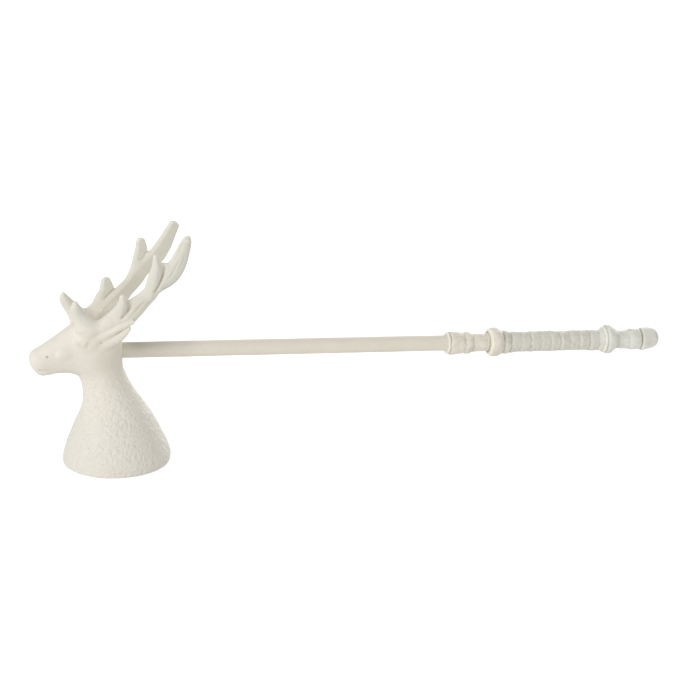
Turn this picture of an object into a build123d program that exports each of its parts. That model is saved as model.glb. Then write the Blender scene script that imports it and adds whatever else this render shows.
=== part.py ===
from build123d import *
import os
from math import cos, radians, sin

# Candle snuffer: a bell cast as a stag's neck and head, on a straight rod with a turned handle.
# Millimetres, +Z up. The origin is the centre of the bell's mouth, whose rim lies in Z = 0.
# The stag looks along -X. The rod and the handle run along +X and fall a little below level.
# The stag's left side is -Y.

# Bell and neck
rim_radius = 25.0
mouth_radius = 21.5
mouth_land = 4.0
bell_wall = 2.6
hollow_height = 40.0

# Head
head_length = 39.0
head_axis_height = 55.0
head_depth = 22.0
head_width = 19.0
crown_above_axis = 11.8
eye_radius = 1.7
nostril_radius = 0.7

# Ears
ear_length = 15.0
ear_width = 6.0
ear_thickness = 2.8

# Antlers
antler_seat_above_axis = 12.0
antler_reach = 34.5
antler_height = 41.5
antler_spread = 12.7
beam_depth = 9.0
beam_thickness = 5.0
root_length = 18.0
root_width = 9.2
root_rise = 3.8
root_lean = 0.8
stud_radius = 1.5
stud_length = 7.0

# Rod, with distances along its axis counted from X = 0
rod_below_axis = 2.2
rod_droop = 5.0
rod_radius = 3.6
rod_inset = 1.0
thread_radius = 2.5
thread_length = 11.0
tang_radius = 2.2

# Handle pieces, from front to back
handle_start = 160.1
ferrule_length = 12.9
ferrule_radius = 5.4
ferrule_socket = 6.9
front_neck_length = 7.5
front_neck_radius = 4.15
front_ring_length = 6.8
front_ring_radius = 7.1
front_step_length = 2.7
front_step_radius = 5.2
grip_length = 48.6
grip_radius = 5.0
grip_band_height = 0.3
grip_bands = 10
rear_ring_length = 7.0
rear_ring_radius = 7.05
rear_crest_groove = 0.35
rear_neck_length = 6.2
rear_neck_radius = 4.35
rear_bead_length = 7.1
rear_bead_radius = 5.1
washer_thickness = 0.6
washer_radius = 4.4
cap_length = 8.5
cap_radius = 5.3
cap_thread_length = 6.0

# Clearances
fit_clearance = 0.05
hole_overrun = 0.5

# Bell and neck from the rim to the crown: height as a share of the crown's height, then centre,
# half length and half width as shares of rim_radius
neck_shares = (
    (0.00, 0.000, 1.000, 1.000),
    (0.04, -0.010, 0.982, 0.980),
    (0.10, -0.021, 0.934, 0.930),
    (0.19, -0.024, 0.846, 0.840),
    (0.27, -0.024, 0.756, 0.745),
    (0.35, -0.034, 0.644, 0.625),
    (0.43, -0.060, 0.546, 0.508),
    (0.52, -0.120, 0.464, 0.420),
    (0.60, -0.190, 0.424, 0.376),
    (0.69, -0.254, 0.384, 0.364),
    (0.78, -0.280, 0.364, 0.368),
    (0.87, -0.288, 0.358, 0.376),
    (0.93, -0.288, 0.330, 0.352),
    (0.975, -0.288, 0.245, 0.260),
    (1.00, -0.288, 0.095, 0.100),
)
hollow_top_share = 0.55

# Head from the crown to the muzzle: distance as a share of head_length, centre and half height
# as shares of head_depth, half width as a share of head_width
head_shares = (
    (0.10, 0.070, 0.455, 0.485),
    (0.23, 0.055, 0.485, 0.505),
    (0.36, 0.015, 0.495, 0.485),
    (0.47, -0.020, 0.464, 0.430),
    (0.58, -0.055, 0.395, 0.363),
    (0.70, -0.095, 0.330, 0.310),
    (0.80, -0.150, 0.300, 0.290),
    (0.89, -0.170, 0.268, 0.268),
    (0.96, -0.160, 0.218, 0.226),
    (0.99, -0.145, 0.164, 0.168),
    (1.00, -0.140, 0.090, 0.095),
)

# Places on the left side of the head: back from X = 0 and out from Y = 0, as shares of
# head_length and head_width, and above the head's axis as a share of head_depth
eye_place_shares = (0.345, 0.42, 0.18)
nostril_place_shares = (0.83, 0.24, -0.03)
ear_root_shares = (0.23, 0.52, 0.32)
ear_tip_shares = (-0.10, 0.83, 0.57)

# Ear from its root to its tip: distance along it as a share of ear_length, half width as a
# share of ear_width, half thickness as a share of ear_thickness
ear_shares = (
    (0.00, 0.28, 0.42),
    (0.25, 0.42, 0.50),
    (0.55, 0.48, 0.46),
    (0.82, 0.34, 0.34),
    (1.00, 0.08, 0.16),
)
# The groove in the ear's outer face, in the same terms
groove_shares = (
    (0.18, 0.10, 0.16),
    (0.45, 0.24, 0.34),
    (0.70, 0.20, 0.28),
    (0.90, 0.06, 0.12),
)
groove_side_share = 0.42

# Root of the antler: centre as shares of antler_reach and antler_spread
root_place_shares = (-0.13, 0.57)
root_foot_share = 0.72
root_top_share = 0.80

# The beam and each tine are horns along their own mid-lines: reach as a share of antler_reach,
# height above the seat as a share of antler_height, sideways place as a share of antler_spread,
# depth as a share of beam_depth and thickness as a share of beam_thickness
beam_shares = (
    (-0.058, 0.054, 0.62, 0.51, 0.80),
    (0.067, 0.137, 0.69, 1.02, 1.24),
    (0.197, 0.224, 0.80, 1.02, 1.18),
    (0.330, 0.320, 0.90, 0.93, 1.10),
    (0.470, 0.437, 0.945, 0.93, 1.04),
    (0.609, 0.537, 0.97, 0.93, 1.00),
    (0.739, 0.629, 0.985, 0.86, 0.94),
    (0.846, 0.756, 0.99, 0.70, 0.84),
    (0.922, 0.878, 1.00, 0.54, 0.74),
    (0.957, 0.959, 1.00, 0.42, 0.62),
    (0.965, 0.990, 1.00, 0.22, 0.38),
)
brow_tine_shares = (
    (-0.261, 0.054, 0.57, 0.36, 0.64),
    (-0.377, 0.093, 0.57, 0.69, 0.92),
    (-0.487, 0.161, 0.59, 0.71, 0.90),
    (-0.536, 0.244, 0.62, 0.56, 0.80),
    (-0.554, 0.307, 0.64, 0.40, 0.58),
    (-0.559, 0.339, 0.64, 0.20, 0.30),
)
second_tine_shares = (
    (0.000, 0.075, 0.64, 1.36, 1.26),
    (0.014, 0.130, 0.70, 1.06, 1.14),
    (0.040, 0.190, 0.765, 0.84, 1.00),
    (0.061, 0.252, 0.835, 0.64, 0.90),
    (0.064, 0.324, 0.91, 0.44, 0.76),
    (0.049, 0.380, 0.945, 0.32, 0.56),
    (0.041, 0.406, 0.95, 0.17, 0.30),
)
third_tine_shares = (
    (0.406, 0.366, 0.91, 0.47, 0.64),
    (0.475, 0.473, 0.96, 0.73, 0.84),
    (0.522, 0.585, 0.99, 0.82, 0.92),
    (0.519, 0.698, 1.01, 0.54, 0.80),
    (0.501, 0.795, 1.01, 0.39, 0.64),
    (0.496, 0.829, 1.01, 0.20, 0.34),
)

# Handle outlines: distance as a share of the piece's length, radius as a share of its radius
ferrule_shares = (
    (0.00, 0.74),
    (0.12, 0.95),
    (0.24, 1.00),
    (0.50, 0.98),
    (0.71, 0.94),
    (0.85, 1.00),
    (1.00, 0.87),
)
bead_shares = ((0.12, 0.94), (0.42, 1.00), (0.75, 0.96), (1.00, 0.90))
cap_shares = ((0.00, 0.92), (0.14, 1.00), (0.35, 0.99), (0.55, 0.95), (0.75, 0.84), (0.90, 0.62))
crest_share = 0.27
band_lip_share = 0.12

# Derived sizes and places
crown_height = head_axis_height + crown_above_axis
antler_seat_height = head_axis_height + antler_seat_above_axis
root_reach = root_place_shares[0] * antler_reach
root_side = root_place_shares[1] * antler_spread
socket_radius = rod_radius + fit_clearance
thread_hole_radius = thread_radius + fit_clearance
tang_hole_radius = tang_radius + fit_clearance
stud_hole_radius = stud_radius + fit_clearance
stud_hole_depth = stud_length / 2 + hole_overrun

rod_direction = Vector(cos(radians(rod_droop)), 0, -sin(radians(rod_droop)))
rod_origin = Vector(0, 0, head_axis_height - rod_below_axis)
rod_axis = Axis(rod_origin, rod_direction)
rod_plane = Plane(origin=rod_origin, x_dir=(0, 1, 0), z_dir=rod_direction)
turning_plane = Plane(origin=rod_origin, x_dir=rod_direction, z_dir=(0, -1, 0))

rod_end = handle_start + ferrule_socket
front_collar_start = handle_start + ferrule_length
front_ring_start = front_collar_start + front_neck_length
front_ring_middle = front_ring_start + front_ring_length / 2
front_ring_end = front_ring_start + front_ring_length
grip_start = front_ring_end + front_step_length
rear_collar_start = grip_start + grip_length
rear_ring_middle = rear_collar_start + rear_ring_length / 2
rear_ring_end = rear_collar_start + rear_ring_length
rear_bead_start = rear_ring_end + rear_neck_length
washer_start = rear_bead_start + rear_bead_length
cap_start = washer_start + washer_thickness
tang_end = cap_start + cap_thread_length


def head_place(shares):
    """A point on the left side of the head, from its shares of the head's sizes."""
    back, out, up = shares
    return Vector(-back * head_length, -out * head_width, head_axis_height + up * head_depth)


def across_middle(point):
    """The same point on the right side."""
    return Vector(point.X, -point.Y, point.Z)


def outline(shares, start, length, radius):
    """Points of a turned outline: distance along the rod, then radius."""
    return [(start + along * length, across * radius) for along, across in shares]


def horn_sections(rows):
    """Planes square to a horn's mid-line, each with its depth and thickness, on the left antler."""
    points = [
        Vector(
            reach * antler_reach,
            -side * antler_spread,
            antler_seat_height + height * antler_height,
        )
        for reach, height, side, depth, thickness in rows
    ]
    sections = []
    for index, (reach, height, side, depth, thickness) in enumerate(rows):
        before = points[max(index - 1, 0)]
        after = points[min(index + 1, len(points) - 1)]
        along = (after - before).normalized()
        plane = Plane(origin=points[index], x_dir=along.cross(Vector(0, 1, 0)), z_dir=along)
        sections.append((plane, depth * beam_depth, thickness * beam_thickness))
    return sections


# The hollow follows the outside less the wall, from the land at the mouth to a closed top
hollow_rows = [(mouth_land, 0, mouth_radius, mouth_radius)]
for height, centre, half_length, half_width in neck_shares:
    if mouth_land < height * crown_height < hollow_height:
        hollow_rows.append(
            (
                height * crown_height,
                centre * rim_radius,
                half_length * rim_radius - bell_wall,
                half_width * rim_radius - bell_wall,
            )
        )
last_height, last_centre, last_length, last_width = hollow_rows[-1]
hollow_rows.append(
    (
        hollow_height,
        last_centre,
        hollow_top_share * last_length,
        hollow_top_share * last_width,
    )
)

# The left ear lies along the head's side and points back, with a groove in its outer face
ear_root = head_place(ear_root_shares)
ear_direction = (head_place(ear_tip_shares) - ear_root).normalized()
outwards = Vector(0, -1, 0)
ear_plane = Plane(origin=ear_root, x_dir=ear_direction.cross(outwards), z_dir=ear_direction)
groove_root = ear_root + outwards * (groove_side_share * ear_thickness)
groove_plane = Plane(origin=groove_root, x_dir=ear_plane.x_dir, z_dir=ear_direction)

# The seat that the left antler stands on, and the left ear: the head carries them on both sides
with BuildPart() as seat_and_ear:
    with BuildSketch(Plane.XY.offset(antler_seat_height - root_width)):
        with Locations((root_reach, -root_side + root_lean)):
            Ellipse(root_foot_share * root_length / 2, root_foot_share * root_width / 2)
    with BuildSketch(Plane.XY.offset(antler_seat_height)):
        with Locations((root_reach, -root_side)):
            Ellipse(root_length / 2, root_width / 2)
    loft()
    for distance, half_width, half_thickness in ear_shares:
        with BuildSketch(ear_plane.offset(distance * ear_length)):
            Ellipse(half_width * ear_width, half_thickness * ear_thickness)
    loft()
    for distance, half_width, half_thickness in groove_shares:
        with BuildSketch(groove_plane.offset(distance * ear_length)):
            Ellipse(half_width * ear_width, half_thickness * ear_thickness)
    loft(mode=Mode.SUBTRACT)

# Bell, neck, head and ears: one casting
with BuildPart() as stag_head:
    for height, centre, half_length, half_width in neck_shares:
        with BuildSketch(Plane.XY.offset(height * crown_height)):
            with Locations((centre * rim_radius, 0)):
                Ellipse(half_length * rim_radius, half_width * rim_radius)
    loft()
    for distance, centre, half_height, half_width in head_shares:
        with BuildSketch(Plane.YZ.offset(-distance * head_length)):
            with Locations((0, head_axis_height + centre * head_depth)):
                Ellipse(half_width * head_width, half_height * head_depth)
    loft()
    eye_place = head_place(eye_place_shares)
    with Locations(eye_place, across_middle(eye_place)):
        Sphere(eye_radius)
    nostril_place = head_place(nostril_place_shares)
    with Locations(nostril_place, across_middle(nostril_place)):
        Sphere(nostril_radius, mode=Mode.SUBTRACT)
    add(seat_and_ear.part)
    add(seat_and_ear.part.mirror(Plane.XZ))
    # The hollow of the bell, with a short round land at the mouth
    with BuildSketch():
        Circle(mouth_radius)
    extrude(amount=mouth_land, mode=Mode.SUBTRACT)
    for height, centre, half_length, half_width in hollow_rows:
        with BuildSketch(Plane.XY.offset(height)):
            with Locations((centre, 0)):
                Ellipse(half_length, half_width)
    loft(mode=Mode.SUBTRACT)
    # The rod's socket in the nape, and the tapped hole at its bottom
    with BuildSketch(rod_plane.offset(-rod_inset)):
        Circle(socket_radius)
    extrude(amount=rim_radius, mode=Mode.SUBTRACT)
    with BuildSketch(rod_plane.offset(-rod_inset)):
        Circle(thread_hole_radius)
    extrude(amount=-(thread_length + hole_overrun), mode=Mode.SUBTRACT)
    # The tapped holes for the antlers' studs
    with BuildSketch(Plane.XY.offset(antler_seat_height)):
        with Locations((root_reach, -root_side), (root_reach, root_side)):
            Circle(stud_hole_radius)
    extrude(amount=-stud_hole_depth, mode=Mode.SUBTRACT)
stag_head.part.label = "stag_head"

# Antlers: a root block on the seat, the beam that sweeps back from it, and three tines
with BuildPart() as left_antler:
    with BuildSketch(Plane.XY.offset(antler_seat_height)):
        with Locations((root_reach, -root_side)):
            Ellipse(root_length / 2, root_width / 2)
    with BuildSketch(Plane.XY.offset(antler_seat_height + root_rise)):
        with Locations((root_reach, -root_side - root_lean)):
            Ellipse(root_top_share * root_length / 2, root_top_share * root_width / 2)
    loft()
    for rows in (beam_shares, brow_tine_shares, second_tine_shares, third_tine_shares):
        for plane, depth, thickness in horn_sections(rows):
            with BuildSketch(plane):
                Ellipse(depth / 2, thickness / 2)
        loft()
    with BuildSketch(Plane.XY.offset(antler_seat_height)):
        with Locations((root_reach, -root_side)):
            Circle(stud_hole_radius)
    extrude(amount=stud_hole_depth, mode=Mode.SUBTRACT)
left_antler.part.label = "left_antler"

with BuildPart() as right_antler:
    add(left_antler.part.mirror(Plane.XZ))
right_antler.part.label = "right_antler"

# The studs that hold the antlers on their seats
with BuildPart() as left_antler_stud:
    with BuildSketch(Plane.XY.offset(antler_seat_height - stud_length / 2)):
        with Locations((root_reach, -root_side)):
            Circle(stud_radius)
    extrude(amount=stud_length)
left_antler_stud.part.label = "left_antler_stud"

with BuildPart() as right_antler_stud:
    add(left_antler_stud.part.mirror(Plane.XZ))
right_antler_stud.part.label = "right_antler_stud"

# Rod: the front thread, the straight bar and the tang that the handle's pieces slide on
with BuildPart() as rod:
    with BuildSketch(rod_plane.offset(-rod_inset)):
        Circle(thread_radius)
    extrude(amount=-thread_length)
    with BuildSketch(rod_plane.offset(-rod_inset)):
        Circle(rod_radius)
    extrude(amount=rod_end + rod_inset)
    with BuildSketch(rod_plane.offset(rod_end)):
        Circle(tang_radius)
    extrude(amount=tang_end - rod_end)
rod.part.label = "rod"

# Handle: pieces turned about the rod, butted end to end on its tang. Each outline is drawn with
# the distance along the rod first and the radius second
with BuildPart() as ferrule:
    with BuildSketch(turning_plane):
        with BuildLine():
            sleeve = Spline(*outline(ferrule_shares, handle_start, ferrule_length, ferrule_radius))
            Polyline(
                sleeve @ 1,
                (front_collar_start, tang_hole_radius),
                (rod_end, tang_hole_radius),
                (rod_end, socket_radius),
                (handle_start, socket_radius),
                sleeve @ 0,
            )
        make_face()
    revolve(axis=rod_axis)
ferrule.part.label = "ferrule"

with BuildPart() as front_collar:
    with BuildSketch(turning_plane):
        with BuildLine():
            ThreePointArc(
                (front_ring_start, front_neck_radius),
                (front_ring_middle, front_ring_radius),
                (front_ring_end, front_step_radius),
            )
            Polyline(
                (front_ring_end, front_step_radius),
                (grip_start, front_step_radius),
                (grip_start, tang_hole_radius),
                (front_collar_start, tang_hole_radius),
                (front_collar_start, front_neck_radius),
                (front_ring_start, front_neck_radius),
            )
        make_face()
    revolve(axis=rod_axis)
front_collar.part.label = "front_collar"

# The grip's bands step up at their front edge and fall away to the next one
band_length = grip_length / grip_bands
band_points = []
for band in range(grip_bands):
    band_start = grip_start + band * band_length
    band_points.append((band_start, grip_radius - grip_band_height))
    band_points.append((band_start + band_lip_share * band_length, grip_radius))
with BuildPart() as grip:
    with BuildSketch(turning_plane):
        with BuildLine():
            Polyline(
                *band_points,
                (rear_collar_start, grip_radius - grip_band_height),
                (rear_collar_start, tang_hole_radius),
                (grip_start, tang_hole_radius),
                close=True,
            )
        make_face()
    revolve(axis=rod_axis)
grip.part.label = "grip"

with BuildPart() as rear_collar:
    with BuildSketch(turning_plane):
        with BuildLine():
            ThreePointArc(
                (rear_collar_start, grip_radius),
                (rear_collar_start + crest_share * rear_ring_length, rear_ring_radius),
                (rear_ring_middle, rear_ring_radius - rear_crest_groove),
            )
            ThreePointArc(
                (rear_ring_middle, rear_ring_radius - rear_crest_groove),
                (rear_ring_end - crest_share * rear_ring_length, rear_ring_radius),
                (rear_ring_end, rear_neck_radius),
            )
            Line((rear_ring_end, rear_neck_radius), (rear_bead_start, rear_neck_radius))
            bead = Spline(
                (rear_bead_start, rear_neck_radius),
                *outline(bead_shares, rear_bead_start, rear_bead_length, rear_bead_radius),
            )
            Polyline(
                bead @ 1,
                (washer_start, tang_hole_radius),
                (rear_collar_start, tang_hole_radius),
                (rear_collar_start, grip_radius),
            )
        make_face()
    revolve(axis=rod_axis)
rear_collar.part.label = "rear_collar"

with BuildPart() as end_washer:
    with BuildSketch(rod_plane.offset(washer_start)):
        Circle(washer_radius)
        Circle(tang_hole_radius, mode=Mode.SUBTRACT)
    extrude(amount=washer_thickness)
end_washer.part.label = "end_washer"

with BuildPart() as end_cap:
    with BuildSketch(turning_plane):
        with BuildLine():
            knob = Spline(
                *outline(cap_shares, cap_start, cap_length, cap_radius),
                (cap_start + cap_length, 0),
                tangents=[(1, 1), (0, -1)],
            )
            Polyline(
                knob @ 1,
                (tang_end + hole_overrun, 0),
                (tang_end + hole_overrun, tang_hole_radius),
                (cap_start, tang_hole_radius),
                knob @ 0,
            )
        make_face()
    revolve(axis=rod_axis)
end_cap.part.label = "end_cap"

os.makedirs("parts", exist_ok=True)
for piece in (
    stag_head,
    left_antler,
    right_antler,
    left_antler_stud,
    right_antler_stud,
    rod,
    ferrule,
    front_collar,
    grip,
    rear_collar,
    end_washer,
    end_cap,
):
    export_step(piece.part, f"parts/{piece.part.label}.step")
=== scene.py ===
import math

import bpy
import numpy as np
from mathutils import Matrix, Vector


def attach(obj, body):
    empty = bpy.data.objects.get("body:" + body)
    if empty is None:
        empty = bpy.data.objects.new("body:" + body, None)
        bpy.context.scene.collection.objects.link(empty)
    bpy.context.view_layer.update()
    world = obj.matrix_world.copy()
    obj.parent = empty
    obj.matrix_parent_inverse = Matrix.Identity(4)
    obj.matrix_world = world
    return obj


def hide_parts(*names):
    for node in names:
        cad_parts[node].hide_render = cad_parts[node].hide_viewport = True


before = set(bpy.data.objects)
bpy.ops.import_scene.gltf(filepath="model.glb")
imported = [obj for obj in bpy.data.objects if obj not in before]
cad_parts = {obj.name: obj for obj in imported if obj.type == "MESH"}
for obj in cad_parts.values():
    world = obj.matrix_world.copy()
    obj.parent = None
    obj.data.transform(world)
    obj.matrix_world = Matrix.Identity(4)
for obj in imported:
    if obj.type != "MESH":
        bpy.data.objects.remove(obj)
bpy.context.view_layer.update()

# Candle snuffer: a bell cast as a stag's neck and head, a straight rod and a turned handle.
# Sizes and places are in millimetres, which become metres when a mesh is made, apart from those
# of the materials, the floor and the lamps, which are in metres. The stag looks along -X, the rod
# runs along +X and falls a little, and the stag's left side is -Y.

# Camera

# Fitted to the rim's ellipse and the rod: turn about Z, height angle, roll, distance, aim point
# in the picture plane and pixels for each millimetre there
picture_width = 700
view_turn, view_rise, view_roll = 0.29378, 0.35281, -0.00401
view_distance, aim_across, aim_up, view_scale = 1332.73, 107.090, 49.609, 2.17414
view_back = np.array([
    -math.sin(view_turn) * math.cos(view_rise),
    -math.cos(view_turn) * math.cos(view_rise),
    math.sin(view_rise),
])
level_right = np.array([math.cos(view_turn), -math.sin(view_turn), 0.0])
level_up = np.cross(view_back, level_right)
view_right = math.cos(view_roll) * level_right + math.sin(view_roll) * level_up
view_up = -math.sin(view_roll) * level_right + math.cos(view_roll) * level_up
eye = aim_across * view_right + aim_up * view_up + view_distance * view_back

camera_data = bpy.data.cameras.new("camera")
sensor_width = 36.0
camera_data.sensor_width = sensor_width
camera_data.lens = sensor_width * view_scale * view_distance / picture_width
camera_data.clip_end = 20
camera = bpy.data.objects.new("camera", camera_data)
bpy.context.scene.collection.objects.link(camera)
turn = np.eye(4)
turn[:3, 0], turn[:3, 1], turn[:3, 2], turn[:3, 3] = view_right, view_up, view_back, eye / 1000
camera.matrix_world = Matrix(turn.tolist())
bpy.context.scene.camera = camera


# Smooth rows


def dense(rows, step=0.25):
    """The rows' columns drawn as smooth curves over the first column and read every step: between
    two rows each column is the cubic that keeps both rows' values and slopes."""
    table = np.array(rows, float)
    place = table[:, 0]
    slope = np.gradient(table, place, axis=0)
    at = np.arange(place[0], place[-1], step)
    row = np.clip(np.searchsorted(place, at, side="right") - 1, 0, len(place) - 2)
    width = (place[row + 1] - place[row])[:, None]
    share = (at - place[row])[:, None] / width
    square, cube = share**2, share**3
    lead = (cube - 2 * square + share) * width * slope[row]
    before = (2 * cube - 3 * square + 1) * table[row] + lead
    after = (3 * square - 2 * cube) * table[row + 1] + (cube - square) * width * slope[row + 1]
    return at, before + after


def read(curves, place):
    """Every column of the dense rows at each place."""
    at, table = curves
    return [np.interp(place, at, table[:, column]) for column in range(1, table.shape[1])]


# Gaps

# A casting is drawn as the gap of a point from its surface: below zero inside, above outside.
# A form's size and slope have a floor, which keeps its gap finite at its middle
least_size, least_slope, least_section_slope = 0.05, 0.3, 0.5
# A horn's line has this many straight parts between two rows. Its gap is worked out as far as the
# margin round it, and a point beyond that counts as far off
horn_parts, horn_margin, far_off = 4, 6.0, 1e3
# A flat horn's inner side, in halves of the thickness: how far its plane lies from the mid-line,
# and how much further it is at the front edge and nearer at the back. Then the rounding of its edge
flat_place, flat_lean, flat_edge = 0.6, 0.3, 0.35
# Half the thickness at which a horn is too thin to be carved
thin_horn = 1.2


def eased(share):
    """A share from 0 to 1 that starts and ends gently: three times its square, less twice its
    cube."""
    return share * share * (3 - 2 * share)


def joined(first, second, soft):
    """The smaller gap, rounded off by a quarter of soft where the two are nearly equal, so that
    two forms flow together."""
    share = np.maximum(soft - np.abs(first - second), 0) / soft
    return np.minimum(first, second) - share * share * soft / 4


def cut(body, tool, soft):
    """The body's gap with the tool's form taken out, its edge rounded by soft."""
    return -joined(-body, tool, soft)


def section_gap(across, up, half_across, half_up, square):
    """Gap from a squared ellipse: its size by the sum of powers, less one, over its slope."""
    wide = np.abs(across) / half_across
    high = np.abs(up) / half_up
    size = np.maximum((wide**square + high**square) ** (1 / square), least_size)
    slope = size ** (1 - square) * np.sqrt(
        (wide ** (square - 1) / half_across) ** 2 + (high ** (square - 1) / half_up) ** 2
    )
    return (size - 1) / np.maximum(slope, least_section_slope / np.maximum(half_across, half_up))


def ball_gap(x, y, z, centre, radii):
    """Gap from an ellipsoid: its size less one, over its slope."""
    parts = [(place - middle) / half for place, middle, half in zip((x, y, z), centre, radii)]
    size = np.sqrt(sum(part * part for part in parts))
    slope = np.sqrt(sum((part / half) ** 2 for part, half in zip(parts, radii)))
    return (size - 1) / np.maximum(slope / np.maximum(size, least_size), least_slope / max(radii))


def horn_gap(x, y, z, rows, carve=None, keen=2.0, flat=False):
    """Gap from a flattened horn. Its rows are x, y, z, depth and thickness along its mid-line.
    A point is measured from the nearest place of the line, in the oval that stands square to
    the line there, and the two ends are closed with half an ellipsoid. The oval is the sum of
    powers keen of the places across the depth and the thickness: below 2 it has a blunt ridge.
    A flat horn's inner side is cut off by a plane that takes more at the back. carve gives what
    is cut from the surface, from the distance along and those two places."""
    table = np.array(rows, float)
    length = np.r_[0, np.cumsum(np.linalg.norm(np.diff(table[:, :3], axis=0), axis=1))]
    step = length[-1] / (horn_parts * (len(rows) - 1)) - 1e-9
    smooth = dense(np.c_[length, table], step)[1][:, 1:]
    line = smooth[:, :3]
    along = np.gradient(line, axis=0)
    along = along / np.linalg.norm(along, axis=1, keepdims=True)
    side = np.cross(along, (0.0, 1.0, 0.0))
    side = side / np.linalg.norm(side, axis=1, keepdims=True)
    reach = table[:, 3].max() / 2 + horn_margin
    low, high = line.min(0) - reach, line.max(0) + reach
    near = np.ones(x.shape, bool)
    for values, least, most in zip((x, y, z), low, high):
        near &= (values > least) & (values < most)
    points = np.stack([x[near], y[near], z[near]], -1)
    closest = np.full(len(points), far_off**2)
    place = np.zeros(len(points))
    for number in range(len(line) - 1):
        run = line[number + 1] - line[number]
        off = points - line[number]
        share = np.clip(off @ run / (run @ run), 0, 1)
        far = ((off - share[:, None] * run) ** 2).sum(-1)
        better = far < closest
        closest = np.where(better, far, closest)
        place = np.where(better, number + share, place)
    row = np.minimum(place.astype(int), len(line) - 2)
    share = (place - row)[:, None]
    middle, ahead, edge, sizes = (
        values[row] + share * (values[row + 1] - values[row])
        for values in (line, along, side, smooth)
    )
    off = points - middle
    outward = np.cross(edge, ahead)
    depth, thick = sizes[:, 3] / 2, sizes[:, 4] / 2
    ended = (place <= 0) | (place >= len(line) - 1)
    front = (off * edge).sum(-1) / depth
    out = (off * outward).sum(-1) / thick
    past = np.where(ended, (off * ahead).sum(-1) / thick, 0)
    blunt, least_sum = 0.004, 0.02
    parts = (front, out, past)
    powers = [(part * part + blunt) ** (keen / 2) for part in parts]
    size = np.maximum(sum(powers), least_sum) ** (1 / keen)
    slope = size ** (1 - keen) * np.sqrt(
        sum(
            (power * part / (part * part + blunt) / half) ** 2
            for power, part, half in zip(powers, parts, (depth, thick, thick))
        )
    )
    gap = (size - 1) / np.maximum(slope, least_slope / np.maximum(depth, thick))
    if flat:
        gap = cut(gap, (out + flat_place + flat_lean * front) * thick, flat_edge)
    if carve:
        carved = carve(place * length[-1] / (len(line) - 1), front, out)
        gap = gap + carved * np.clip(thick - thin_horn, 0, 1)
    best = np.full(x.shape, far_off)
    best[near] = gap
    return best


def bark(seed, places, deep):
    """Carving of an antler's outer face: lengthwise grooves, bell curves across the depth about
    the places, which wander and change in depth along the horn by slow sine waves. What lies
    between them is raised a little, and the carving fades out towards the inner face."""
    width = 0.17

    def carve(along, front, out):
        wander = 0.09 * np.sin(along * 0.21 + seed) + 0.05 * np.sin(along * 0.53 + 2.1 * seed)
        total = np.zeros_like(front)
        for place in places:
            strength = 0.65 + 0.35 * np.sin(along * 0.33 + 5 * place + seed)
            total += strength * np.exp(-(((front - place - wander) / width) ** 2))
        return deep * (total - 0.3) * np.clip(out * 3 - 0.3, 0, 1)

    return carve


# Bell, neck and head

# Bell and neck: height, centre along X, half length along X, half width along Y
neck_rows = dense((
    (-4.0, 0.3, 25.9, 25.9),
    (0.0, -0.25, 24.7, 25.0),
    (2.7, -0.1, 24.7, 24.6),
    (6.7, -0.05, 23.6, 23.35),
    (12.7, -0.3, 21.2, 21.0),
    (18.0, -0.35, 18.9, 18.6),
    (23.4, -0.55, 16.2, 15.6),
    (28.7, -1.35, 13.7, 12.7),
    (34.7, -3.15, 11.6, 10.5),
    (40.1, -4.85, 10.65, 9.4),
    (46.1, -6.15, 9.8, 9.1),
    (52.1, -6.75, 9.3, 9.1),
    (58.1, -6.6, 9.3, 9.1),
    (64.0, -6.8, 9.0, 8.6),
    (70.0, -6.8, 8.6, 8.2),
))
# The hollow, in the same columns: a straight land at the mouth, then the outside less the wall
hollow_rows = dense((
    (-6.0, 0.0, 21.5, 21.5),
    (-2.0, 0.0, 21.5, 21.5),
    (3.0, -0.05, 21.5, 21.5),
    (7.5, -0.3, 20.5, 20.35),
    (12.7, -0.3, 18.6, 18.4),
    (18.0, -0.35, 16.3, 16.0),
    (23.4, -0.7, 13.5, 13.0),
    (28.7, -1.65, 11.0, 10.1),
    (34.7, -3.3, 9.05, 7.9),
    (42.0, -5.2, 7.9, 6.8),
))
# Heights at which the neck is closed inside the head, and the hollow inside the neck
neck_top, hollow_top = 62.5, 40.0
# Head: distance in front of X = 0, height of its top, height of its underside, half width,
# squareness of the section
head_rows = dense((
    (-6.0, 66.2, 47.0, 8.6, 2.1),
    (3.9, 66.6, 46.6, 9.2, 2.1),
    (8.9, 67.0, 45.8, 9.5, 2.15),
    (13.9, 68.0, 44.5, 9.1, 2.1),
    (18.1, 67.4, 44.0, 8.1, 2.1),
    (22.4, 65.0, 44.5, 6.9, 2.1),
    (27.0, 62.1, 44.85, 6.0, 2.15),
    (30.9, 59.8, 44.5, 5.55, 2.2),
    (34.3, 57.9, 44.7, 5.15, 2.2),
    (36.9, 56.7, 46.5, 4.6, 2.2),
    (39.9, 55.4, 49.3, 3.9, 2.2),
))
# The muzzle's end at a middle height, with how far it leans forward for each millimetre up, and
# the nape's place on X
muzzle_end, muzzle_height, muzzle_lean, nape = -38.9, 52.5, 0.1, 1.9
# Forms of the face and the ears, given for the side where Y is above nought and mirrored to the
# other. Horn rows of the soft brow over the eye and of the mouth's corner: X, distance from the
# middle, Z, depth, thickness
brow_fold = (
    (-18.0, 6.6, 61.6, 1.4, 1.2),
    (-15.2, 7.9, 61.9, 1.7, 1.5),
    (-11.6, 8.4, 61.7, 1.6, 1.4),
    (-9.4, 8.4, 60.6, 1.2, 1.1),
)
mouth_line = (
    (-35.2, 4.6, 48.4, 0.4, 0.4),
    (-32.5, 5.4, 47.9, 0.7, 0.7),
    (-28.0, 5.7, 47.2, 0.6, 0.6),
    (-24.0, 6.1, 47.2, 0.4, 0.4),
)
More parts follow.
